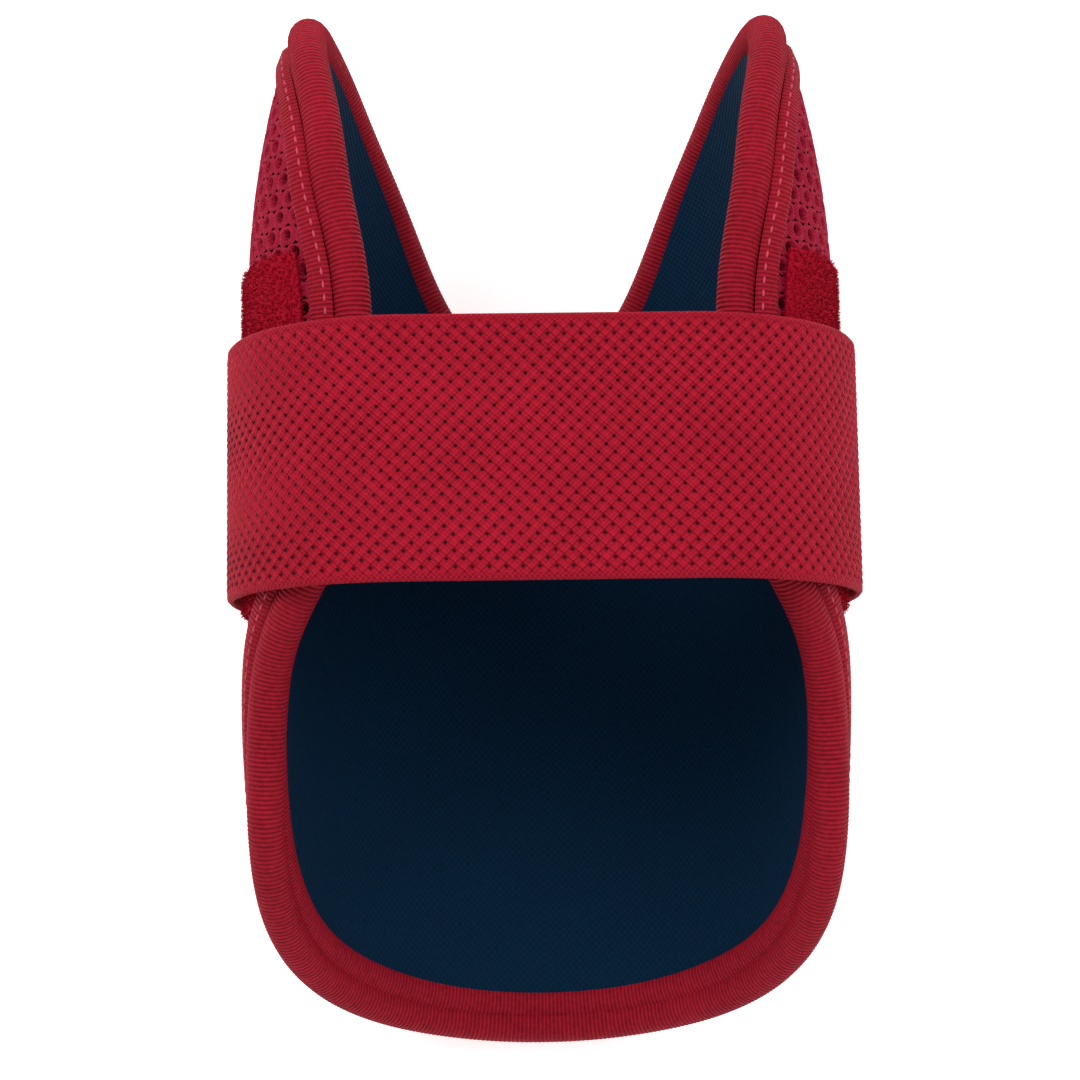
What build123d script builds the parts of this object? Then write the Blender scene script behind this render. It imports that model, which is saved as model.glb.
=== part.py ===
from build123d import *
import os
from math import cos, pi, sin

# Shin guard lying on its hard front, opening and strap upward.
# X across the leg, Y along the leg toward the ankle ears, Z up.  Millimetres.

# ---- driving dimensions -------------------------------------------------
FRONT_RADIUS = 55.0      # middle of the padded wall, round the shin
CURL_RADIUS = 28.0       # middle of the wall where the wings curl inward
WIDEST_Z = 61.5          # height where the wall is widest
BEND_START = 50.0        # past this Y the ears lean inward
BEND_RADIUS = 185.0      # how tightly they lean
TONGUE_Y, EAR_Y = -99.0, 115.0

LINING = (-3.5, -2.7)    # layers, measured outward from the middle of the wall
FOAM = (-2.7, 1.2)
COVER = (1.2, 3.5)
TAPE = (2.8, 3.5)
LIP = (-3.5, -2.9)
SHELL = (3.5, 5.9)

ROLL_RADIUS = 4.0        # rolled binding round the whole edge
TAPE_REACH = 8.0         # outer edge tape reaches this far from the roll's centre
LIP_REACH = 7.2          # inner lip of the binding on the tongue
FOLD_Z = 44.0            # wings fold out about this height
FOLD_GAP = 0.3

STRAP_Y = (-9.0, 41.0)   # 50 mm elastic
STRAP = (5.8, 7.6)       # outward from the middle of the wall
HOOK = (4.8, 5.8)
LOOP = (3.5, 4.5)
STRAP_JOIN = 50.0        # degrees up the curl where the strap folds
STRAP_END = -11.0        # degrees below the widest point where the strap's ends stop
CUT_GAP = 0.25           # half the slit where the strap folds

# Half of the flat pattern's edge, from the middle of the ankle notch round
# to the middle of the tongue: (distance round the wall, Y).
EDGE = [(0, 42), (9, 45), (17, 53), (26, 67), (39, 88), (52, 100), (65, 107), (78, 109), (90, 106.5),
        (101, 98), (109.5, 86), (115, 71), (119.5, 55), (121, 38), (120, 19), (115, 1),
        (106.5, -11), (98, -22), (92, -36), (86, -52), (75, -67), (60, -79), (41, -87.5), (20, -92.5),
        (0, -94)]

QUARTER = FRONT_RADIUS * pi / 2
CURL_X = FRONT_RADIUS - CURL_RADIUS
os.makedirs("parts", exist_ok=True)


def wall(s, y, d=0.0):
    """Point on the wall: s mm round from the front, y along, d outward."""
    side, a = (1 if s >= 0 else -1), abs(s)
    if a < QUARTER:
        t = a / FRONT_RADIUS
        x, z = (FRONT_RADIUS + d) * sin(t), WIDEST_Z - (FRONT_RADIUS + d) * cos(t)
    else:
        t = (a - QUARTER) / CURL_RADIUS
        x, z = CURL_X + (CURL_RADIUS + d) * cos(t), WIDEST_Z + (CURL_RADIUS + d) * sin(t)
    if y > BEND_START:
        t = (y - BEND_START) / BEND_RADIUS
        r = x - FRONT_RADIUS + BEND_RADIUS
        x, y = FRONT_RADIUS - BEND_RADIUS + r * cos(t), BEND_START + r * sin(t)
    return Vector(side * x, y, z)


def half_section(d0, d1, s0):
    """Right half of the wall's cross-section between two depths, from s0 up the curl."""
    a0, top = s0 / FRONT_RADIUS, 84.0
    lines = []
    for d in (d0, d1):
        lines.append(CenterArc((0, WIDEST_Z), FRONT_RADIUS + d, -90 + a0 * 180 / pi, 90 - a0 * 180 / pi))
        lines.append(CenterArc((CURL_X, WIDEST_Z), CURL_RADIUS + d, 0, top))
    ends = [Line(lines[0] @ 0, lines[2] @ 0), Line(lines[1] @ 1, lines[3] @ 1)]
    # the sketch plane's own Y is world Z, and it faces along -Y
    return Plane.XZ * make_face(lines + ends)


def wall_half(depths):
    """Right half of one layer of the wall over the full length, before the edge is cut."""
    straight = extrude(Pos(0, TONGUE_Y, 0) * half_section(*depths, 0.0), -(BEND_START - TONGUE_Y))
    hinge = Axis((FRONT_RADIUS - BEND_RADIUS, BEND_START, 0), (0, 0, 1))
    reach = (EAR_Y - BEND_START) / BEND_RADIUS * 180 / pi
    return straight + revolve(Pos(0, BEND_START, 0) * half_section(*depths, 8.0), hinge, reach)


# ---- the edge, as a curve in space ----------------------------------------
FLAT = Spline(*(EDGE + [(-s, y) for s, y in EDGE[-2:0:-1]]), periodic=True)


def edge_point(t):
    p = FLAT @ (t % 1.0)
    return wall(p.X, p.Y)


def tube(t0, t1, radius):
    n = max(8, int(90 * (t1 - t0)))
    path = Spline(*[edge_point(t0 + (t1 - t0) * i / n) for i in range(n + 1)])
    return sweep(Plane(path @ 0, z_dir=path % 0) * Circle(radius), path=path)


def crossing(t0, t1, test):
    """Where a test on the edge's points changes, between two places on the edge."""
    first = test(edge_point(t0))
    for _ in range(40):
        mid = (t0 + t1) / 2
        if test(edge_point(mid)) == first:
            t0 = mid
        else:
            t1 = mid
    return t0


def largest(shape):
    return max(shape.solids(), key=lambda one: one.volume)


def whole(right_half):
    """A piece that crosses the middle, from its right half."""
    return right_half + mirror(right_half, about=Plane.YZ)


def region(x0, x1, y0, y1, z0, z1):
    return Pos((x0 + x1) / 2, (y0 + y1) / 2, (z0 + z1) / 2) * Box(x1 - x0, y1 - y0, z1 - z0)


# the whole wall as one thickness, severed by a tube along the edge; layers are taken from it
blank = whole(wall_half((LINING[0], COVER[1])))
for t0 in (-0.02, 0.48):
    blank = blank - tube(t0, t0 + 0.54, ROLL_RADIUS)
blank = largest(blank) & region(0, 90, -130, 150, -5, 130)
print("wall cut to shape", round(blank.volume))

FRONT = region(0, 90, -130, 150, -5, FOLD_Z)
WING = region(0, 90, -130, 150, FOLD_Z + FOLD_GAP, 130)
far = crossing(0.02, 0.2, lambda p: p.Z < FOLD_Z)
near = crossing(0.3, 0.49, lambda p: p.Z < FOLD_Z)
middle = crossing(0.45, 0.55, lambda p: p.X > 0)

tape = largest(blank & wall_half(TAPE) & tube(far - 0.01, near + 0.01, TAPE_REACH) & WING)
lip = largest(blank & wall_half(LIP) & tube(near - 0.01, middle + 0.01, LIP_REACH) & FRONT)
print("tape and lip", round(tape.volume), round(lip.volume))

nodes = {"right_edge_tape": tape, "tongue_lip": whole(lip)}
layers = {name: blank & wall_half(depths) for name, depths in
          (("lining", LINING), ("foam", FOAM), ("cover", COVER))}
nodes["front_lining"] = whole((layers["lining"] & FRONT) - lip)
nodes["front_foam"] = whole(layers["foam"] & FRONT)
# a second, slightly larger cut round the tongue leaves the thick cover a clean edge there
tongue_cut = tube(near - 0.02, middle + 0.012, ROLL_RADIUS + 0.1)
nodes["front_cover"] = whole(largest((layers["cover"] & FRONT) - tongue_cut))
nodes["right_lining"] = layers["lining"] & WING
nodes["right_foam"] = layers["foam"] & WING
nodes["right_cover"] = (layers["cover"] & WING) - tape

# rolled binding in four lengths, parted where the wings fold
back, roll = 0.0011, ROLL_RADIUS - 0.03
nodes["notch_binding"] = whole(tube(0, far - back, roll))
nodes["tongue_binding"] = whole(tube(near + back, middle, roll))
nodes["right_binding"] = tube(far + back, near - back, roll)

# hard shell over the shin, with two rails it rests on
outline = extrude(Pos(0, -22, -2) * RectangleRounded(93, 108, 24), 40)
shell_section = half_section(*SHELL, 0.0)
shell = extrude(Pos(0, TONGUE_Y, 0) * shell_section, -140)
shell = whole(shell) & outline
core = Pos(0, -22, WIDEST_Z) * Rot(90, 0, 0) * Cylinder(FRONT_RADIUS + SHELL[0] + 0.4, 120)
rail = Pos(14, -22, 3) * Box(7, 84, 6)
rail = fillet(rail.edges().filter_by(Axis.Z), 3)
shell = shell + (rail - core) + mirror(rail - core, about=Plane.YZ)
slot = extrude(Pos(0, 0, -2) * SlotOverall(26, 4.5, rotation=90), 12)
shell = shell - [Pos(x, y, 0) * slot for x in (-28, 28) for y in (-46, -8)]
nodes["front_shell"] = shell


# ---- strap and its fastenings ---------------------------------------------
def curl_band(depths, a0, a1):
    """Band on the right-hand side from a0 (below the widest point if negative) up the curl to a1, in degrees."""
    rows = []
    for d in depths:
        row = [CenterArc((CURL_X, WIDEST_Z), CURL_RADIUS + d, max(a0, 0), a1 - max(a0, 0))]
        if a0 < 0:
            row.insert(0, CenterArc((0, WIDEST_Z), FRONT_RADIUS + d, a0, -a0))
        rows.append(row)
    ends = [Line(rows[0][0] @ 0, rows[1][0] @ 0), Line(rows[0][-1] @ 1, rows[1][-1] @ 1)]
    return Plane.XZ * make_face(rows[0] + rows[1] + ends)


def across(face, y0, y1):
    return extrude(Pos(0, y0, 0) * face, -(y1 - y0))


slit = CUT_GAP / (CURL_RADIUS + STRAP[1]) * 180 / pi
arm = across(curl_band(STRAP, STRAP_JOIN + slit, 90), *STRAP_Y)
top = WIDEST_Z + CURL_RADIUS + STRAP[0]
flat = region(-CURL_X, CURL_X, *STRAP_Y, top, top + STRAP[1] - STRAP[0])
nodes["strap_span"] = flat + arm + mirror(arm, about=Plane.YZ)
nodes["right_strap_end"] = across(curl_band(STRAP, STRAP_END, STRAP_JOIN - slit), *STRAP_Y)
nodes["right_hook_tape"] = across(curl_band(HOOK, STRAP_END, 22), STRAP_Y[0] + 2, STRAP_Y[1] - 2)
loops = across(curl_band(LOOP, STRAP_END - 2, 34), STRAP_Y[0] - 3, BEND_START)
nodes["right_loop_patch"] = largest(loops - nodes["right_edge_tape"])

for name in [name for name in nodes if name.startswith("right_")]:
    nodes[name.replace("right_", "left_")] = mirror(nodes[name], about=Plane.YZ)

# the row's origin is the middle of the bounding box's bottom face
spans = [shape.bounding_box() for shape in nodes.values()]
middle_y = (min(b.min.Y for b in spans) + max(b.max.Y for b in spans)) / 2
print("moved along Y by", round(-middle_y, 3))
for name, shape in nodes.items():
    solids = (Pos(0, -middle_y, 0) * shape).solids()
    export_step(solids[0] if len(solids) == 1 else Compound(children=list(solids)), f"parts/{name}.step")
    print(f"{name:16s} solids {len(solids)} volume {sum(s.volume for s in solids):9.1f}")
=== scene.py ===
# %% [markdown]
# # A padded shin guard with an elastic strap
# The guard is a bent foam wall wrapped in cloth: a navy woven lining inside, an open spacer mesh outside,
# and a ribbed binding rolled over the whole edge. A wide elastic strap crosses the opening.
# Every soft piece is cut flat and then bent onto the same wall, which is how the real one is made.
# The CAD frame is loaded first: it says where each rigid body is and how it moves.
# %% Load the frame
from math import cos, pi, radians, sin, tau
import bmesh
import bpy
import numpy as np
from mathutils import Matrix, Vector
from mathutils.geometry import delaunay_2d_cdt


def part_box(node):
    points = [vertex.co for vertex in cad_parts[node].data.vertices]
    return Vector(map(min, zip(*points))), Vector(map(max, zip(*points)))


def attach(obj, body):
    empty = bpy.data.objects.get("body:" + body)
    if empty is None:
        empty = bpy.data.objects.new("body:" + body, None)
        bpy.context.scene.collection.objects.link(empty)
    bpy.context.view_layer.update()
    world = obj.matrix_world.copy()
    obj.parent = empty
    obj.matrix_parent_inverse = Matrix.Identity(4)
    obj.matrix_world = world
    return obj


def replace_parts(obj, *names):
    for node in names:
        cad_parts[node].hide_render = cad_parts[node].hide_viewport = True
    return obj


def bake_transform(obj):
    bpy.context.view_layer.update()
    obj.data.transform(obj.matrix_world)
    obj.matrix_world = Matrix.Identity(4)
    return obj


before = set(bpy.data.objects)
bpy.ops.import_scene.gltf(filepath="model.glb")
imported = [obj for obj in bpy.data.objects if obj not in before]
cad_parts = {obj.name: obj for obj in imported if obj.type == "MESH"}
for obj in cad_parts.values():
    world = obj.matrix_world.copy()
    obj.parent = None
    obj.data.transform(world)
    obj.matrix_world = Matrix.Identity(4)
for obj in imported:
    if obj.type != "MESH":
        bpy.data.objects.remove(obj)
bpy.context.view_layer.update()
rng = np.random.default_rng(7)

# %% [markdown]
# ## The bent wall
# Lengths here are millimetres, turned into metres as each point is placed.
# One function turns a place on the flat pattern into a place in space. A pattern point is (s, y): s runs
# round the leg from the middle of the shin, y along the leg. A third number d is the depth outward from the
# middle of the padding. The edge of the pattern is a smooth closed curve through a few stations, as a
# pattern cutter would draw it.
# %% Pattern and wall
FRONT_R, CURL_R, WIDE_Z = 55.0, 28.0, 61.5
BEND_Y, BEND_R = 50.0, 185.0
QUARTER = FRONT_R * pi / 2
CURL_X = FRONT_R - CURL_R
STRAP_MID = 16.0
low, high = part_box("strap_span")
SHIFT = (low[1] + high[1]) * 500 - STRAP_MID
EDGE = [(0, 42), (9, 45), (17, 53), (26, 67), (39, 88), (52, 100), (65, 107), (78, 109), (90, 106.5),
        (101, 98), (109.5, 86), (115, 71), (119.5, 55), (121, 38), (120, 19), (115, 1), (106.5, -11),
        (98, -22), (92, -36), (86, -52), (75, -67), (60, -79), (41, -87.5), (20, -92.5), (0, -94)]


def wall(s, y, d=0.0):
    s, y, d = np.broadcast_arrays(np.asarray(s, float), np.asarray(y, float), np.asarray(d, float))
    a = abs(s)
    t, c = a / FRONT_R, (a - QUARTER) / CURL_R
    x = np.where(a < QUARTER, (FRONT_R + d) * np.sin(t), CURL_X + (CURL_R + d) * np.cos(c))
    z = np.where(a < QUARTER, WIDE_Z - (FRONT_R + d) * np.cos(t), WIDE_Z + (CURL_R + d) * np.sin(c))
    lean = np.clip((y - BEND_Y) / BEND_R, 0, None)
    r = x - FRONT_R + BEND_R
    x, y = (np.where(y > BEND_Y, FRONT_R - BEND_R + r * np.cos(lean), x),
            np.where(y > BEND_Y, BEND_Y + r * np.sin(lean), y))
    return np.stack([np.where(s < 0, -x, x), y + SHIFT, z], -1) / 1000


def closed_spline(points, per=24):
    p = np.array(points, float)
    n, h = len(p), np.linalg.norm(np.roll(p, -1, 0) - p, axis=1)
    a, b = np.zeros((n, n)), np.zeros((n, 2))
    for i in range(n):
        j, g0, g1 = (i + 1) % n, h[i - 1], h[i]
        a[i, i - 1], a[i, i], a[i, j] = g1, 2 * (g0 + g1), g0
        b[i] = 3 * (g1 * (p[i] - p[i - 1]) / g0 + g0 * (p[j] - p[i]) / g1)
    m, out = np.linalg.solve(a, b), []
    for i in range(n):
        j = (i + 1) % n
        t = np.linspace(0, 1, per, endpoint=False)[:, None]
        out.append((2 * t**3 - 3 * t**2 + 1) * p[i] + (t**3 - 2 * t**2 + t) * h[i] * m[i]
                   + (3 * t**2 - 2 * t**3) * p[j] + (t**3 - t**2) * h[i] * m[j])
    return np.concatenate(out)


loop = closed_spline(EDGE + [(-s, y) for s, y in EDGE[-2:0:-1]])
half_edge = loop[: 24 * (len(EDGE) - 1) + 1]
half_edge[0, 0] = half_edge[-1, 0] = 0.0
print("edge points", len(loop), "right half", len(half_edge))


# %% [markdown]
# ## Helpers for meshes and materials
# `make` builds a mesh object whose place is in its points. `uv` keeps each point's pattern place in
# millimetres, so that a woven or ribbed finish follows the cloth round the bend.
# Mirroring a right-hand piece gives the left-hand one.
# %% Mesh helpers
def make(name, points, faces, uv=None, material=None):
    mesh = bpy.data.meshes.new(name)
    mesh.from_pydata([tuple(p) for p in points], [], [tuple(f) for f in faces])
    if uv is not None:
        layer = mesh.uv_layers.new(name="pattern")
        index = np.empty(len(mesh.loops), int)
        mesh.loops.foreach_get("vertex_index", index)
        layer.data.foreach_set("uv", np.asarray(uv, float)[index].ravel())
    bm = bmesh.new()
    bm.from_mesh(mesh)
    bmesh.ops.recalc_face_normals(bm, faces=bm.faces)
    for face in bm.faces:
        face.smooth = True
    for line in bm.edges:
        line.smooth = line.calc_face_angle(0) < 1.2
    bm.to_mesh(mesh)
    bm.free()
    obj = bpy.data.objects.new(name, mesh)
    bpy.context.collection.objects.link(obj)
    if material:
        mesh.materials.append(material)
    return obj


def grid_faces(rows, cols, wrap=False):
    out = []
    for i in range(rows - 1):
        for j in range(cols if wrap else cols - 1):
            k = (j + 1) % cols
            out.append((i * cols + j, (i + 1) * cols + j, (i + 1) * cols + k, i * cols + k))
    return out


def bend_with_wing(obj):
    """Bakes the object's placement into its points; no part of it is made to follow the wing."""
    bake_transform(obj)


def mirrored(points, side):
    return points * np.array([1 if side == "right" else -1, 1, 1])


# %% [markdown]
# ## Cloth finishes
# Each finish is a small node tree. The pattern groups give only heights and masks, worked out from the
# pattern place in millimetres, and the material turns them into bumps and into painted shade, lighter on
# raised threads and darker in the hollows. That way the same weave can be used in red or in navy.
# %% Shader groups
def group(name, sockets_in, sockets_out):
    tree = bpy.data.node_groups.new(name, "ShaderNodeTree")
    for label, value in sockets_in:
        kind = "NodeSocketVector" if value is None else "NodeSocketFloat"
        socket = tree.interface.new_socket(label, in_out="INPUT", socket_type=kind)
        if value is not None:
            socket.default_value = value
    for label in sockets_out:
        tree.interface.new_socket(label, in_out="OUTPUT", socket_type="NodeSocketFloat")
    return tree, tree.nodes.new("NodeGroupInput"), tree.nodes.new("NodeGroupOutput")


def math(tree, kind, *values):
    node = tree.nodes.new("ShaderNodeMath")
    node.operation = kind
    for i, value in enumerate(values):
        if isinstance(value, (int, float)):
            node.inputs[i].default_value = value
        else:
            tree.links.new(value, node.inputs[i])
    return node.outputs[0]


def wave(tree, value, pitch, shift=0.0):
    return math(tree, "COSINE", math(tree, "MULTIPLY_ADD", value, tau / pitch, shift))


# open elastic weave: raised knots in staggered rows, small holes between them painted dark as painted shade
KNOT_U, KNOT_V = 3.1, 3.0
THREAD_U, THREAD_V = 1.03, 0.98
SKEW, SELVEDGE, HALF_BAND = 0.06, 1.3, 25.0
weave, ins, outs = group("elastic_weave", [("Place", None), ("Half width", HALF_BAND)], ["Height", "Gap"])
split = weave.nodes.new("ShaderNodeSeparateXYZ")
weave.links.new(ins.outputs["Place"], split.inputs[0])
u, v = split.outputs[0], split.outputs[1]
skew = math(weave, "MULTIPLY_ADD", v, SKEW, u)
knot = math(weave, "MULTIPLY", wave(weave, skew, KNOT_U), wave(weave, v, KNOT_V))
thread = math(weave, "MULTIPLY", wave(weave, skew, THREAD_U), wave(weave, v, THREAD_V))
selvedge = math(weave, "SUBTRACT", ins.outputs["Half width"], SELVEDGE)
edge = math(weave, "GREATER_THAN", math(weave, "ABSOLUTE", v), selvedge)
inner = math(weave, "SUBTRACT", 1.0, edge)
height = math(weave, "MULTIPLY_ADD", thread, 0.8, knot)
height = math(weave, "MULTIPLY_ADD", height, inner, math(weave, "MULTIPLY", thread, edge))
weave.links.new(height, outs.inputs["Height"])
# Gap marks the holes between the knots, which the material paints near-black as painted shade
gap = math(weave, "GREATER_THAN", math(weave, "MULTIPLY", math(weave, "MULTIPLY", knot, -1.0), inner), 0.76)
weave.links.new(gap, outs.inputs["Gap"])

# plain weave and ribs
plain, ins, outs = group("plain_weave", [("Place", None), ("Pitch", 1.3)], ["Height"])
split = plain.nodes.new("ShaderNodeSeparateXYZ")
plain.links.new(ins.outputs["Place"], split.inputs[0])
turn = math(plain, "DIVIDE", tau, ins.outputs["Pitch"])
warp = math(plain, "SINE", math(plain, "MULTIPLY", split.outputs[0], turn))
weft = math(plain, "SINE", math(plain, "MULTIPLY", split.outputs[1], turn))
plain.links.new(math(plain, "MULTIPLY", warp, weft), outs.inputs["Height"])

ribs, ins, outs = group("ribs", [("Place", None), ("Pitch", 0.92)], ["Height"])
split = ribs.nodes.new("ShaderNodeSeparateXYZ")
ribs.links.new(ins.outputs["Place"], split.inputs[0])
turn = math(ribs, "DIVIDE", tau, ins.outputs["Pitch"])
cord = math(ribs, "COSINE", math(ribs, "MULTIPLY", split.outputs[0], turn))
fleck = math(ribs, "COSINE", math(ribs, "MULTIPLY", split.outputs[1], 14.0))
ribs.links.new(math(ribs, "MULTIPLY_ADD", fleck, 0.15, cord), outs.inputs["Height"])
print("shader groups", [g.name for g in bpy.data.node_groups if g.bl_idname == "ShaderNodeTree"])


def finish_of(name, color, dark, pattern=None, bump=0.0001, rough=0.8, sheen=0.0, gap=None, fuzz=900.0,
              settings=()):
    """A cloth or plastic finish: colour mixed between dark and light by fine noise, a random tone, and by the
    pattern's height, painted shade that makes its hollows darker.
    """
    mat = bpy.data.materials.new(name)
    mat.use_nodes = True
    tree = mat.node_tree
    shader = tree.nodes["Principled BSDF"]
    shader.inputs["Roughness"].default_value = rough
    shader.inputs["Sheen Weight"].default_value = sheen
    shader.inputs["Sheen Roughness"].default_value = 0.4
    shader.inputs["Sheen Tint"].default_value = (*color, 1)
    shader.inputs["Specular IOR Level"].default_value = 0.12 if rough > 0.6 else 0.4
    coords = tree.nodes.new("ShaderNodeTexCoord")
    noise = tree.nodes.new("ShaderNodeTexNoise")
    noise.inputs["Scale"].default_value = fuzz
    noise.inputs["Detail"].default_value = 3.0
    tree.links.new(coords.outputs["Object"], noise.inputs["Vector"])
    wide = tree.nodes.new("ShaderNodeTexNoise")
    wide.inputs["Scale"].default_value = 60.0
    tree.links.new(coords.outputs["Object"], wide.inputs["Vector"])
    level = math(tree, "MULTIPLY", wide.outputs["Fac"], 0.25)
    level = math(tree, "MULTIPLY_ADD", noise.outputs["Fac"], 0.55, level)
    height = math(tree, "MULTIPLY", noise.outputs["Fac"], 0.5)
    if pattern:
        node = tree.nodes.new("ShaderNodeGroup")
        node.node_tree = pattern
        place = tree.nodes.new("ShaderNodeUVMap")
        place.uv_map = "pattern"
        tree.links.new(place.outputs["UV"], node.inputs["Place"])
        for key, value in settings:
            node.inputs[key].default_value = value
        # painted shade: where the pattern stands high the colour is lighter, in its hollows darker
        level = math(tree, "MULTIPLY_ADD", node.outputs["Height"], 0.22, level)
        height = math(tree, "ADD", node.outputs["Height"], height)
    mix = tree.nodes.new("ShaderNodeMix")
    mix.data_type = "RGBA"
    mix.inputs["A"].default_value = (*dark, 1)
    mix.inputs["B"].default_value = (*color, 1)
    tree.links.new(level, mix.inputs["Factor"])
    result = mix.outputs["Result"]
    # painted shade: the weave's holes get a near-black colour for the shade seen through them
    if gap:
        hole = tree.nodes.new("ShaderNodeMix")
        hole.data_type = "RGBA"
        hole.inputs["B"].default_value = (*gap, 1)
        tree.links.new(result, hole.inputs["A"])
        tree.links.new(node.outputs["Gap"], hole.inputs["Factor"])
        result = hole.outputs["Result"]
    tree.links.new(result, shader.inputs["Base Color"])
    relief = tree.nodes.new("ShaderNodeBump")
    relief.inputs["Distance"].default_value = bump
    relief.inputs["Strength"].default_value = 0.8
    tree.links.new(height, relief.inputs["Height"])
    tree.links.new(relief.outputs["Normal"], shader.inputs["Normal"])
    return mat


# %% [markdown]
# ## The materials
# Cloth is rough, with a little tinted sheen and hardly any gloss. The elastic, binding, mesh and loop pile
# are close shades of one red; the lining is navy; the hard shell is a satin plastic.
# %% Materials
# the elastic's gap colour is painted shade in the holes of the weave
elastic = finish_of("elastic_red", (0.68, 0.014, 0.045), (0.22, 0.002, 0.010), weave, 0.00022, 0.75,
                    0.15, gap=(0.06, 0.0, 0.004))
binding = finish_of("binding_red", (0.60, 0.014, 0.040), (0.14, 0.001, 0.006), ribs, 0.00012, 0.7, 0.2)
mesh_red = finish_of("mesh_red", (0.66, 0.022, 0.075), (0.20, 0.003, 0.015), plain, 0.00012, 0.8, 0.2,
                     settings=(("Pitch", 0.7),))
backing = finish_of("mesh_backing", (0.10, 0.004, 0.012), (0.010, 0.001, 0.004), plain, 0.0001, 0.9,
                    settings=(("Pitch", 1.6),))
navy = finish_of("lining_navy", (0.0, 0.026, 0.070), (0.0, 0.011, 0.030), plain, 0.00010, 0.85, 0.05,
                 settings=(("Pitch", 1.5),))
velvet = finish_of("loop_pile_red", (0.66, 0.006, 0.035), (0.22, 0.001, 0.008), None, 0.0003, 0.95, 0.5,
                   fuzz=1400)
stitch = finish_of("stitch_pink", (0.80, 0.10, 0.16), (0.45, 0.02, 0.05), None, 0.00005, 0.6)
foam_mat = finish_of("foam_black", (0.02, 0.02, 0.022), (0.008, 0.008, 0.009), None, 0.0001, 0.9)
shell_mat = finish_of("shell_red", (0.40, 0.006, 0.020), (0.28, 0.003, 0.012), None, 0.00003, 0.38,
                      fuzz=500)
hook_mat = finish_of("hook_red", (0.30, 0.006, 0.016), (0.10, 0.001, 0.005), None, 0.0004, 0.5,
                     fuzz=1800)
print("materials", len(bpy.data.materials))


# %% [markdown]
# ## Layers of the wall
# Lining, foam and the dark backing behind the mesh are the same flat shape at different depths. Each half
# pattern is filled with a regular set of points and joined into triangles, then bent twice, once for each
# face, and closed along its edge. The halves meet in the middle of the shin.
# %% Lining, foam and backing
def inset_edge(amount):
    """The right half's edge moved inward on the flat pattern."""
    step = np.gradient(half_edge, axis=0)
    normal = np.stack([step[:, 1], -step[:, 0]], -1)
    normal /= np.linalg.norm(normal, axis=1)[:, None]
    inner, away = half_edge + normal * amount, half_edge - normal * amount
    if np.mean(np.linalg.norm(inner - [60, 0], axis=1)) > np.mean(np.linalg.norm(away - [60, 0], axis=1)):
        inner = away
    inner[:, 0] = np.clip(inner[:, 0], 0, None)
    inner[0, 0] = inner[-1, 0] = 0.0
    return inner


def inside(points, outline):
    """Which points are inside a closed outline."""
    x, y = points[:, 0], points[:, 1]
    odd = np.zeros(len(points), bool)
    for (x0, y0), (x1, y1) in zip(outline, np.roll(outline, -1, 0)):
        cross = ((y0 > y) != (y1 > y)) & (x < (x1 - x0) * (y - y0) / ((y1 - y0) or 1e-9) + x0)
        odd ^= cross
    return odd


def flat_piece(amount, pitch):
    """Points and triangles of the half pattern, its edge inset by amount."""
    outline = inset_edge(amount)[::4]
    seam = np.arange(outline[-1, 1] + pitch, outline[0, 1] - pitch / 2, pitch)
    outline = np.concatenate([outline, np.stack([np.zeros(len(seam)), seam], -1)])
    gx, gy = np.meshgrid(np.arange(pitch, 124, pitch), np.arange(-95, 112, pitch))
    field = np.stack([gx.ravel(), gy.ravel()], -1)
    field = field[inside(field, outline)]
    gap = np.min(np.linalg.norm(field[:, None] - outline[None], axis=2), axis=1)
    field = field[gap > pitch * 0.5]
    every = [Vector(p) for p in np.concatenate([outline, field])]
    n = len(outline)
    verts, _, faces, *_ = delaunay_2d_cdt(every, [], [list(range(n))], 1, 1e-6)
    return np.array([tuple(v) for v in verts]), [tuple(f) for f in faces]


def layer(name, side, amount, d0, d1, pitch, material):
    flat, faces = flat_piece(amount, pitch)
    n = len(flat)
    points = np.concatenate([wall(flat[:, 0], flat[:, 1], d0), wall(flat[:, 0], flat[:, 1], d1)])
    count = {}
    for f in faces:
        for a, b in zip(f, f[1:] + f[:1]):
            count[(a, b)] = 1
    rim = [(a, b) for a, b in count if (b, a) not in count]
    closed = [f for f in faces] + [tuple(i + n for i in f[::-1]) for f in faces]
    closed += [(b, a, a + n, b + n) for a, b in rim]
    one, two = (np.array([flat[f[k]] - flat[f[0]] for f in faces]) for k in (1, 2))
    area = np.sum(abs(one[:, 0] * two[:, 1] - one[:, 1] * two[:, 0])) / 2 / 1e6
    obj = make(f"{side}_{name}", mirrored(points, side), closed, np.concatenate([flat, flat]), material)
    bend_with_wing(obj)
    return obj, float(area)


UNDER_ROLL = 2.6
pads, linings = {}, {}
for side in ("right", "left"):
    pad, _ = layer("foam_pad", side, UNDER_ROLL, -2.6, 1.1, 3.0, foam_mat)
    pads[side] = pad
    lining, area = layer("woven_lining", side, UNDER_ROLL, -3.45, -2.75, 2.2, navy)
    linings[side] = lining
    back, area = layer("mesh_backing", side, 3.0, 1.3, 1.7, 2.6, backing)
    print(side, "layers, flat area", round(area, 4))
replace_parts(pads["right"], "right_foam", "front_foam")
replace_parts(pads["left"], "left_foam")
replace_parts(linings["right"], "right_lining", "front_lining")
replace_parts(linings["left"], "left_lining")


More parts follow.
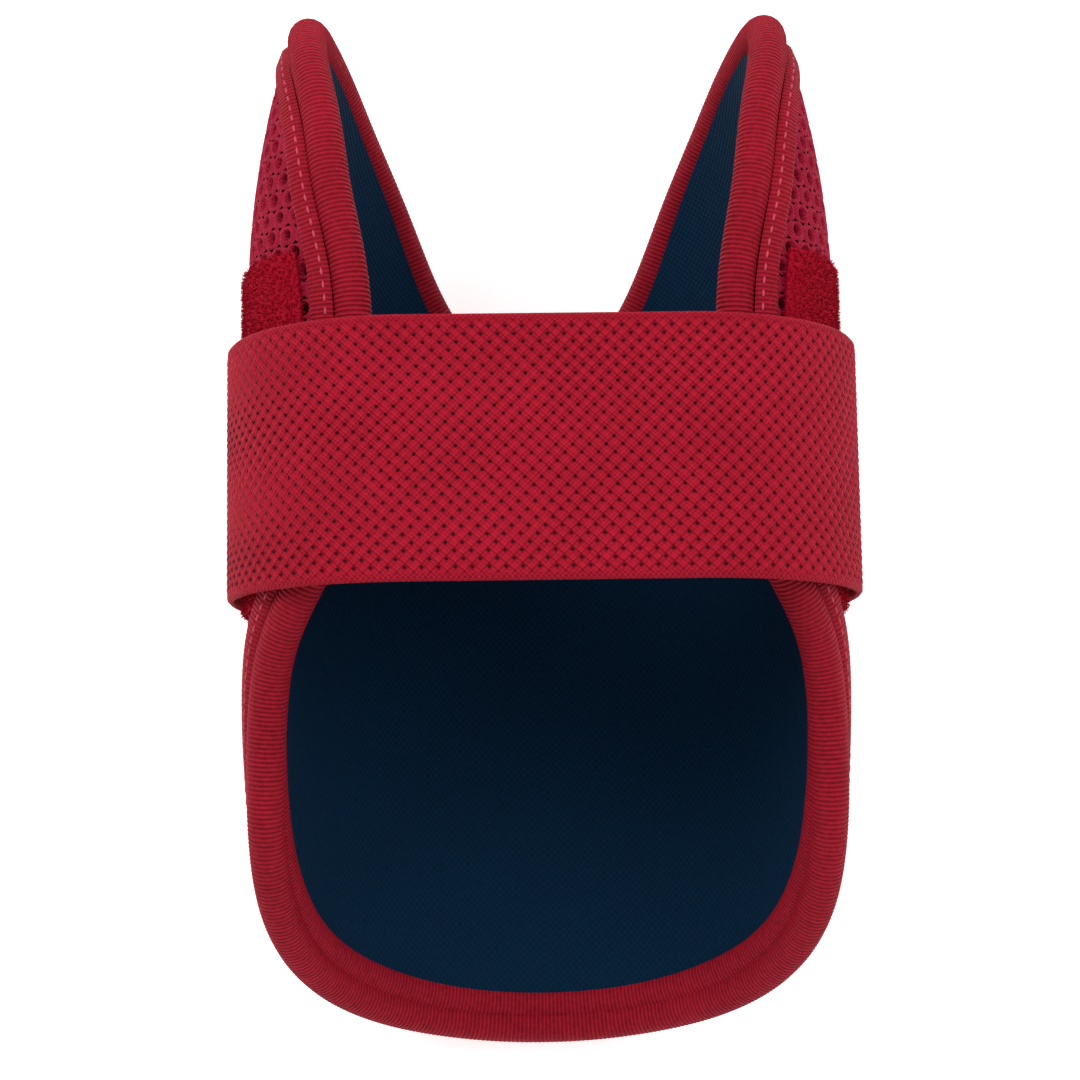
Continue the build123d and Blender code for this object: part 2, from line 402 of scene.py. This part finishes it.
# %% [markdown]
# ## Spacer mesh
# The outside is an open knit with oval holes. One hole with the yarn round it is a small ring of faces that
# rises from the hole's wall to a rounded crest. The ring is repeated in staggered rows on the flat pattern
# and bent onto the wall, leaving out the part under the hard shell.
# %% Spacer mesh
def spacer_mesh(side, px=4.5, py=3.9, n=16):
    outline = inset_edge(5.0)[::4]
    rows = []
    for j, y in enumerate(np.arange(-92, 110, py)):
        for x in np.arange(px / 2, 123, px):
            rows.append((x + (px / 2 if j % 2 else 0), y))
    centres = np.array(rows)
    under_shell = (centres[:, 0] < 40) & (abs(centres[:, 1] + 22) < 46)
    centres = centres[inside(centres, outline) & ~under_shell]
    angle = np.arange(n) * tau / n + tau / n / 2
    c, s = np.cos(angle), np.sin(angle)
    square = np.stack([c, s], -1) / np.maximum(abs(c), abs(s))[:, None]
    rings = [(np.stack([c * 0.95, s * 1.2], -1), 1.75), (np.stack([c * 0.98, s * 1.22], -1), 2.7),
             (np.stack([c * 1.25, s * 1.42], -1), 3.35), (np.stack([c * 1.6, s * 1.62], -1), 3.45),
             (square * [px / 2, py / 2], 3.05)]
    points, faces, uv = [], [], []
    jitter = rng.normal(0, 0.07, (len(centres), 2))
    size = 1 + rng.normal(0, 0.05, len(centres))
    for k, centre in enumerate(centres):
        base = k * n * len(rings)
        for r, (ring, d) in enumerate(rings):
            move = jitter[k] if r < 4 else 0
            p = centre + ring * (size[k] if r < 4 else 1) + move
            points.append(wall(p[:, 0], p[:, 1], d))
            uv.append(p)
        for r in range(len(rings) - 1):
            for i in range(n):
                a, b = base + r * n + i, base + r * n + (i + 1) % n
                faces.append((a, b, b + n, a + n))
    points = mirrored(np.concatenate(points), side)
    obj = make(f"{side}_spacer_mesh", points, faces, np.concatenate(uv), mesh_red)
    bend_with_wing(obj)
    print(obj.name, "holes", len(centres), "faces", len(faces))
    return obj


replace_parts(spacer_mesh("right"), "right_cover", "front_cover")
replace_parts(spacer_mesh("left"), "left_cover")


# %% [markdown]
# ## Rolled binding, edge tape and lip
# The binding is a ribbed tape folded over the edge, so it looks like a cord with fine ribs across it. Its
# rings are placed along the edge at equal steps, five to a rib, and each rib stands a tenth of a millimetre
# proud. The flat edge tape outside the wings and the lip inside the tongue follow the same path.
# %% Binding
def edge_frames(step):
    fine = half_edge
    p = wall(fine[:, 0], fine[:, 1]) * 1000
    run = np.concatenate([[0], np.cumsum(np.linalg.norm(np.diff(p, axis=0), axis=1))])
    at = np.linspace(0, run[-1], int(run[-1] / step))
    s, y = (np.interp(at, run, fine[:, k]) for k in (0, 1))
    centre = wall(s, y) * 1000
    normal = (wall(s, y, 1.0) - wall(s, y, -1.0)) * 500
    along = np.gradient(centre, axis=0)
    along /= np.linalg.norm(along, axis=1)[:, None]
    inward = np.cross(along, normal)
    half = len(at) // 2
    inward *= np.sign(np.sum(inward[half] * (np.array([55, 40, 20]) - centre[half])))
    inward /= np.linalg.norm(inward, axis=1)[:, None]
    return at, s, y, centre, normal, inward


RIB = 0.92
at, es, ey, centre, normal, inward = edge_frames(RIB / 5)
print("edge length each side", round(at[-1], 1), "mm")


def swept(name, side, profile, keep, material, ripple=0.1):
    """A closed profile of (inward, outward) points, in mm, carried along the edge."""
    rows = np.flatnonzero(keep)
    prof = np.array(profile, float)
    wob = 0.5 + 0.5 * np.cos(tau * at[rows] / RIB)
    swell = 1 + 0.02 * np.sin(at[rows] / 17) + 0.015 * np.sin(at[rows] / 6.1 + 1)
    mid = prof.mean(axis=0)
    rel = prof - mid
    out = rel / np.maximum(np.linalg.norm(rel, axis=1), 1e-6)[:, None]
    grown = rel[None] * swell[:, None, None] + out[None] * (wob[:, None, None] * ripple) + mid
    pts = centre[rows][:, None] + grown[..., :1] * inward[rows][:, None]
    pts = pts + grown[..., 1:] * normal[rows][:, None]
    n = len(prof)
    faces = grid_faces(len(rows), n, wrap=True)
    faces += [tuple(range(n)), tuple(range(len(rows) * n - n, len(rows) * n))[::-1]]
    around = np.concatenate([[0], np.cumsum(np.linalg.norm(np.diff(prof, axis=0), axis=1))])
    uv = np.stack(np.broadcast_arrays(at[rows][:, None], around[None]), -1).reshape(-1, 2)
    obj = make(f"{side}_{name}", mirrored(pts.reshape(-1, 3) / 1000, side), faces, uv, material)
    bend_with_wing(obj)
    return obj


ROLL_R = 3.72
ring = [(ROLL_R * cos(a), ROLL_R * sin(a)) for a in np.arange(18) * tau / 18]
everywhere = np.ones(len(at), bool)
tape = [(2.6, 3.0), (3.4, 3.7), (4.6, 4.0), (6.4, 4.05), (7.0, 3.6), (6.6, 3.2), (5.0, 2.6)]
lip = [(1.6, -2.9), (2.3, -3.75), (4.3, -4.3), (6.0, -4.2), (6.8, -3.6), (6.2, -3.0), (4.2, -2.6)]
rolls, tapes = {}, {}
for side in ("right", "left"):
    rolls[side] = swept("rolled_binding", side, ring, everywhere, binding)
    tapes[side] = swept("edge_tape", side, tape, es > 20, binding, 0.06)
    tapes[side + "_lip"] = swept("tongue_lip", side, lip, ey < -25, binding, 0.06)
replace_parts(rolls["right"], "right_binding", "notch_binding")
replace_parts(rolls["left"], "left_binding", "tongue_binding")
for side in ("right", "left"):
    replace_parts(tapes[side], side + "_edge_tape")
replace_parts(tapes["right_lip"], "tongue_lip")


# %% [markdown]
# ## Stitching
# A row of small stitches runs in the groove between the roll and the tape. Geometry Nodes resamples the
# groove's path, puts one short bar on each point turned along the path, and makes the result real.
# %% Stitches along the groove
def stitch_tree():
    tree = bpy.data.node_groups.new("stitch_row", "GeometryNodeTree")
    face = tree.interface
    face.new_socket("Geometry", in_out="INPUT", socket_type="NodeSocketGeometry")
    for label, value in (("Spacing", 0.0026), ("Length", 0.0019), ("Radius", 0.00028)):
        face.new_socket(label, in_out="INPUT", socket_type="NodeSocketFloat").default_value = value
    face.new_socket("Material", in_out="INPUT", socket_type="NodeSocketMaterial")
    face.new_socket("Geometry", in_out="OUTPUT", socket_type="NodeSocketGeometry")
    new, link = tree.nodes.new, tree.links.new
    a, z = new("NodeGroupInput"), new("NodeGroupOutput")
    curve, points = new("GeometryNodeMeshToCurve"), new("GeometryNodeCurveToPoints")
    points.mode = "LENGTH"
    bar, place = new("GeometryNodeMeshIcoSphere"), new("GeometryNodeInstanceOnPoints")
    bar.inputs["Subdivisions"].default_value = 1
    bar.inputs["Radius"].default_value = 0.5
    size, real = new("ShaderNodeCombineXYZ"), new("GeometryNodeRealizeInstances")
    paint = new("GeometryNodeSetMaterial")
    wide = new("ShaderNodeMath")
    wide.operation = "MULTIPLY"
    wide.inputs[1].default_value = 2.0
    link(a.outputs["Radius"], wide.inputs[0])
    link(wide.outputs[0], size.inputs[0])
    link(wide.outputs[0], size.inputs[1])
    link(a.outputs["Length"], size.inputs[2])
    link(a.outputs["Geometry"], curve.inputs[0])
    link(curve.outputs[0], points.inputs[0])
    link(a.outputs["Spacing"], points.inputs["Length"])
    link(points.outputs["Points"], place.inputs["Points"])
    link(points.outputs["Rotation"], place.inputs["Rotation"])
    link(bar.outputs[0], place.inputs["Instance"])
    link(size.outputs[0], place.inputs["Scale"])
    link(place.outputs[0], real.inputs[0])
    link(real.outputs[0], paint.inputs[0])
    link(a.outputs["Material"], paint.inputs["Material"])
    link(paint.outputs[0], z.inputs[0])
    return tree


def through_nodes(name, source, tree, **values):
    """Runs a node tree on a source object and keeps the result as a plain mesh object."""
    mod = source.modifiers.new("nodes", "NODES")
    mod.node_group = tree
    ids = {item.name: item.identifier for item in tree.interface.items_tree if item.in_out == "INPUT"}
    for key, value in values.items():
        mod[ids[key]] = value
    depsgraph = bpy.context.evaluated_depsgraph_get()
    mesh = bpy.data.meshes.new_from_object(source.evaluated_get(depsgraph))
    source.modifiers.remove(mod)
    bpy.data.objects.remove(source)
    mesh.name = name
    mesh.shade_smooth()
    obj = bpy.data.objects.new(name, mesh)
    bpy.context.collection.objects.link(obj)
    return obj


row_tree = stitch_tree()
for side in ("right", "left"):
    rows = np.flatnonzero(es > 25)[::4]
    path = (centre[rows] + inward[rows] * 3.9 + normal[rows] * 3.85) / 1000
    mesh = bpy.data.meshes.new("path")
    mesh.from_pydata([tuple(p) for p in mirrored(path, side)], [(i, i + 1) for i in range(len(path) - 1)], [])
    source = bpy.data.objects.new("path", mesh)
    bpy.context.collection.objects.link(source)
    seam = through_nodes(f"{side}_seam_stitches", source, row_tree, Material=stitch)
    bend_with_wing(seam)
    print(seam.name, len(seam.data.polygons), "faces")


# %% [markdown]
# ## Loop patches
# The fastening patch on each wing is loop pile: a thin base with a dense fuzz of short fibres. The base is
# bent onto the wing, and Geometry Nodes scatters the fibres on it with a fixed seed.
# %% Loop patches
def fibre_tree():
    tree = bpy.data.node_groups.new("fibre_pile", "GeometryNodeTree")
    face = tree.interface
    face.new_socket("Geometry", in_out="INPUT", socket_type="NodeSocketGeometry")
    face.new_socket("Density", in_out="INPUT", socket_type="NodeSocketFloat").default_value = 3.0e6
    face.new_socket("Height", in_out="INPUT", socket_type="NodeSocketFloat").default_value = 0.0009
    face.new_socket("Material", in_out="INPUT", socket_type="NodeSocketMaterial")
    face.new_socket("Geometry", in_out="OUTPUT", socket_type="NodeSocketGeometry")
    new, link = tree.nodes.new, tree.links.new
    a, z = new("NodeGroupInput"), new("NodeGroupOutput")
    scatter, fibre = new("GeometryNodeDistributePointsOnFaces"), new("GeometryNodeMeshCone")
    place = new("GeometryNodeInstanceOnPoints")
    scatter.inputs["Seed"].default_value = 5
    fibre.inputs["Vertices"].default_value = 3
    fibre.inputs["Radius Top"].default_value = 0.00004
    fibre.inputs["Radius Bottom"].default_value = 0.00012
    tilt, turn = new("FunctionNodeRandomValue"), new("FunctionNodeRotateRotation")
    tilt.data_type = "FLOAT_VECTOR"
    tilt.inputs[0].default_value = (-0.8, -0.8, -3.1)
    tilt.inputs[1].default_value = (0.8, 0.8, 3.1)
    turn.rotation_space = "LOCAL"
    real, join = new("GeometryNodeRealizeInstances"), new("GeometryNodeJoinGeometry")
    paint = new("GeometryNodeSetMaterial")
    link(a.outputs["Geometry"], scatter.inputs["Mesh"])
    link(a.outputs["Density"], scatter.inputs["Density"])
    link(a.outputs["Height"], fibre.inputs["Depth"])
    link(scatter.outputs["Points"], place.inputs["Points"])
    link(scatter.outputs["Rotation"], turn.inputs["Rotation"])
    link(tilt.outputs[0], turn.inputs["Rotate By"])
    link(turn.outputs[0], place.inputs["Rotation"])
    link(fibre.outputs["Mesh"], place.inputs["Instance"])
    link(place.outputs[0], real.inputs[0])
    link(real.outputs[0], join.inputs[0])
    link(a.outputs["Geometry"], join.inputs[0])
    link(join.outputs[0], paint.inputs[0])
    link(a.outputs["Material"], paint.inputs["Material"])
    link(paint.outputs[0], z.inputs[0])
    return tree


def band(share, y_values, s_low, s_high, d0, d1):
    """A thin closed piece between two depths, from s_low to s_high (one value per y) on the pattern."""
    n, m = len(share), len(y_values)
    t, y = np.meshgrid(share, y_values, indexing="ij")
    s = s_low + (s_high[None] - s_low) * t
    pts = np.concatenate([wall(s, y, d0).reshape(-1, 3), wall(s, y, d1).reshape(-1, 3)])
    faces = grid_faces(n, m)
    faces += [tuple(i + n * m for i in f[::-1]) for f in faces]
    rim = [j for j in range(m)] + [i * m + m - 1 for i in range(1, n)]
    rim += [(n - 1) * m + j for j in range(m - 2, -1, -1)] + [i * m for i in range(n - 2, 0, -1)]
    for a, b in zip(rim, rim[1:] + rim[:1]):
        faces.append((a, b, b + n * m, a + n * m))
    return pts, faces, np.concatenate([np.stack([s, y], -1).reshape(-1, 2)] * 2)


pile_tree = fibre_tree()
patch_y = np.linspace(-11.5, 56.0, 50)
wing_edge = half_edge[np.argmax(half_edge[:, 1]):][::-1]
patch_top = np.interp(patch_y, wing_edge[:, 1], wing_edge[:, 0]) - 8.4
for side in ("right", "left"):
    pts, faces, uv = band(np.linspace(0, 1, 30), patch_y, 74.5, patch_top, 3.5, 4.1)
    source = make("patch", mirrored(pts, side), faces, uv, velvet)
    patch = through_nodes(f"{side}_loop_pile", source, pile_tree, Material=velvet)
    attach(patch, side + "_wing")
    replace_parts(patch, side + "_loop_patch")
    print(patch.name, len(patch.data.polygons), "faces")


# %% [markdown]
# ## Elastic strap
# The strap is one band of woven elastic. It is modelled as two mirrored halves that meet in the middle of the
# span, one on the right wing and one on the left end with the peeling tab; both are built in place and stay
# fixed. The knots of the weave are raised in the mesh, and the finish adds the fine threads and paints the
# holes between the knots near-black as painted shade.
# %% Strap
STRAP_D = 6.7
HALF = CURL_X + (CURL_R + STRAP_D) * pi / 2 + (FRONT_R + STRAP_D) * radians(11)


def strap_place(u, d):
    """x and z of the strap: u mm from its middle, d mm out from the middle of the wall."""
    a = abs(u)
    arc = (a - CURL_X) / (CURL_R + STRAP_D)
    rest = np.clip(a - CURL_X - (CURL_R + STRAP_D) * pi / 2, 0, None) / (FRONT_R + STRAP_D)
    on_curl = pi / 2 - np.clip(arc, 0, pi / 2)
    x = np.where(a < CURL_X, a, CURL_X + (CURL_R + d) * np.cos(on_curl))
    z = np.where(a < CURL_X, WIDE_Z + CURL_R + d, WIDE_Z + (CURL_R + d) * np.sin(on_curl))
    x = np.where(rest > 0, (FRONT_R + d) * np.cos(rest), x)
    z = np.where(rest > 0, WIDE_Z - (FRONT_R + d) * np.sin(rest), z)
    return x, z


for side in ("right", "left"):
    us, vs = np.arange(0, HALF, KNOT_U / 8), np.linspace(-HALF_BAND, HALF_BAND, 181)
    u, v = np.meshgrid(us, vs, indexing="ij")
    knot = np.cos(tau * (u + SKEW * v) / KNOT_U) * np.cos(tau * v / KNOT_V)
    knot = np.where(abs(v) > HALF_BAND - SELVEDGE, 0.2, knot)
    fade = np.clip((HALF_BAND - abs(v)) / 0.6, 0, 1)
    top = 7.25 + (0.17 * knot + 0.15) * fade - 0.35 * (1 - fade)
    x1, z1 = strap_place(u, top)
    x0, z0 = strap_place(u, 5.95 + 0.3 * (1 - fade))
    y = v + STRAP_MID + SHIFT
    pts = [np.stack([x, y, z], -1).reshape(-1, 3) for x, z in ((x1, z1), (x0, z0))]
    pts = np.concatenate(pts) / 1000
    n, m = u.shape
    faces = grid_faces(n, m)
    faces += [tuple(i + n * m for i in f[::-1]) for f in faces]
    rim = list(range(m)) + [i * m + m - 1 for i in range(1, n)]
    rim += [(n - 1) * m + j for j in range(m - 2, -1, -1)] + [i * m for i in range(n - 2, 0, -1)]
    faces += [(a, b, b + n * m, a + n * m) for a, b in zip(rim, rim[1:] + rim[:1])]
    uv = np.concatenate([np.stack([u if side == "right" else -u, v], -1).reshape(-1, 2)] * 2)
    strap = make(f"{side}_elastic_strap", mirrored(pts, side), faces, uv, elastic)
    if side == "right":
        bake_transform(strap)
        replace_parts(strap, "right_strap_end", "strap_span")
    else:
        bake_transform(strap)
        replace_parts(strap, "left_strap_end")
    print(strap.name, "length", round(HALF, 1), "mm, faces", len(faces))

# %% [markdown]
# ## Hard parts
# The shell over the shin and the hook tapes under the strap's ends are moulded plastic, so their CAD shapes
# are already right. They only need a finish.
# %% Shell and hook tapes
for node, mat in (("front_shell", shell_mat), ("right_hook_tape", hook_mat), ("left_hook_tape", hook_mat)):
    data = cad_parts[node].data
    data.materials.clear()
    data.materials.append(mat)
print("plastic parts painted")

# %% [markdown]
# ## Studio
# A plain white floor, soft light from above and both sides, and a long lens almost straight above the
# opening, tipped a little toward the tongue.
# %% Floor, lights and camera
bpy.ops.mesh.primitive_plane_add(size=6, location=(0, 0, -0.0005))
floor = bpy.context.object
floor.name = "studio_floor"
white = bpy.data.materials.new("studio_white")
white.use_nodes = True
white.node_tree.nodes["Principled BSDF"].inputs["Base Color"].default_value = (0.95, 0.95, 0.95, 1)
white.node_tree.nodes["Principled BSDF"].inputs["Emission Color"].default_value = (1, 1, 1, 1)
white.node_tree.nodes["Principled BSDF"].inputs["Emission Strength"].default_value = 0.6
floor.data.materials.append(white)

world = bpy.data.worlds.new("studio_world")
bpy.context.scene.world = world
world.use_nodes = True
world.node_tree.nodes["Background"].inputs["Color"].default_value = (1, 1, 1, 1)
world.node_tree.nodes["Background"].inputs["Strength"].default_value = 0.42


def lamp(name, place, size, power, target=(0, 0, 0.06)):
    data = bpy.data.lights.new(name, "AREA")
    data.size, data.energy = size, power
    obj = bpy.data.objects.new(name, data)
    obj.location = place
    obj.rotation_euler = (Vector(target) - Vector(place)).to_track_quat("-Z", "Y").to_euler()
    bpy.context.collection.objects.link(obj)


lamp("key_left", (-0.45, 0.40, 0.75), 0.5, 4.0)
lamp("fill_right", (0.60, 0.15, 0.75), 0.6, 3.0)
lamp("front_low", (0.0, -0.8, 0.45), 0.5, 0.3)

TILT, SIDE, ROLL, DISTANCE = radians(8), radians(-1.3), radians(-0.9), 0.470
aim = Vector((-0.0013, 0.0006 + SHIFT / 1000, 0.080))
back = Vector((sin(SIDE), -sin(TILT), cos(TILT))).normalized()
right = (-back).cross(Vector((0, 1, 0))).normalized()
up = right.cross(-back)
right, up = cos(ROLL) * right + sin(ROLL) * up, -sin(ROLL) * right + cos(ROLL) * up
camera = bpy.data.objects.new("camera", bpy.data.cameras.new("camera"))
bpy.context.collection.objects.link(camera)
camera.data.lens = 82.3
camera.data.clip_start = 0.01
turn = Matrix((right, up, back)).transposed().to_4x4()
camera.matrix_world = Matrix.Translation(aim + back * DISTANCE) @ turn
bpy.context.scene.camera = camera
bpy.context.scene.view_settings.view_transform = "Standard"
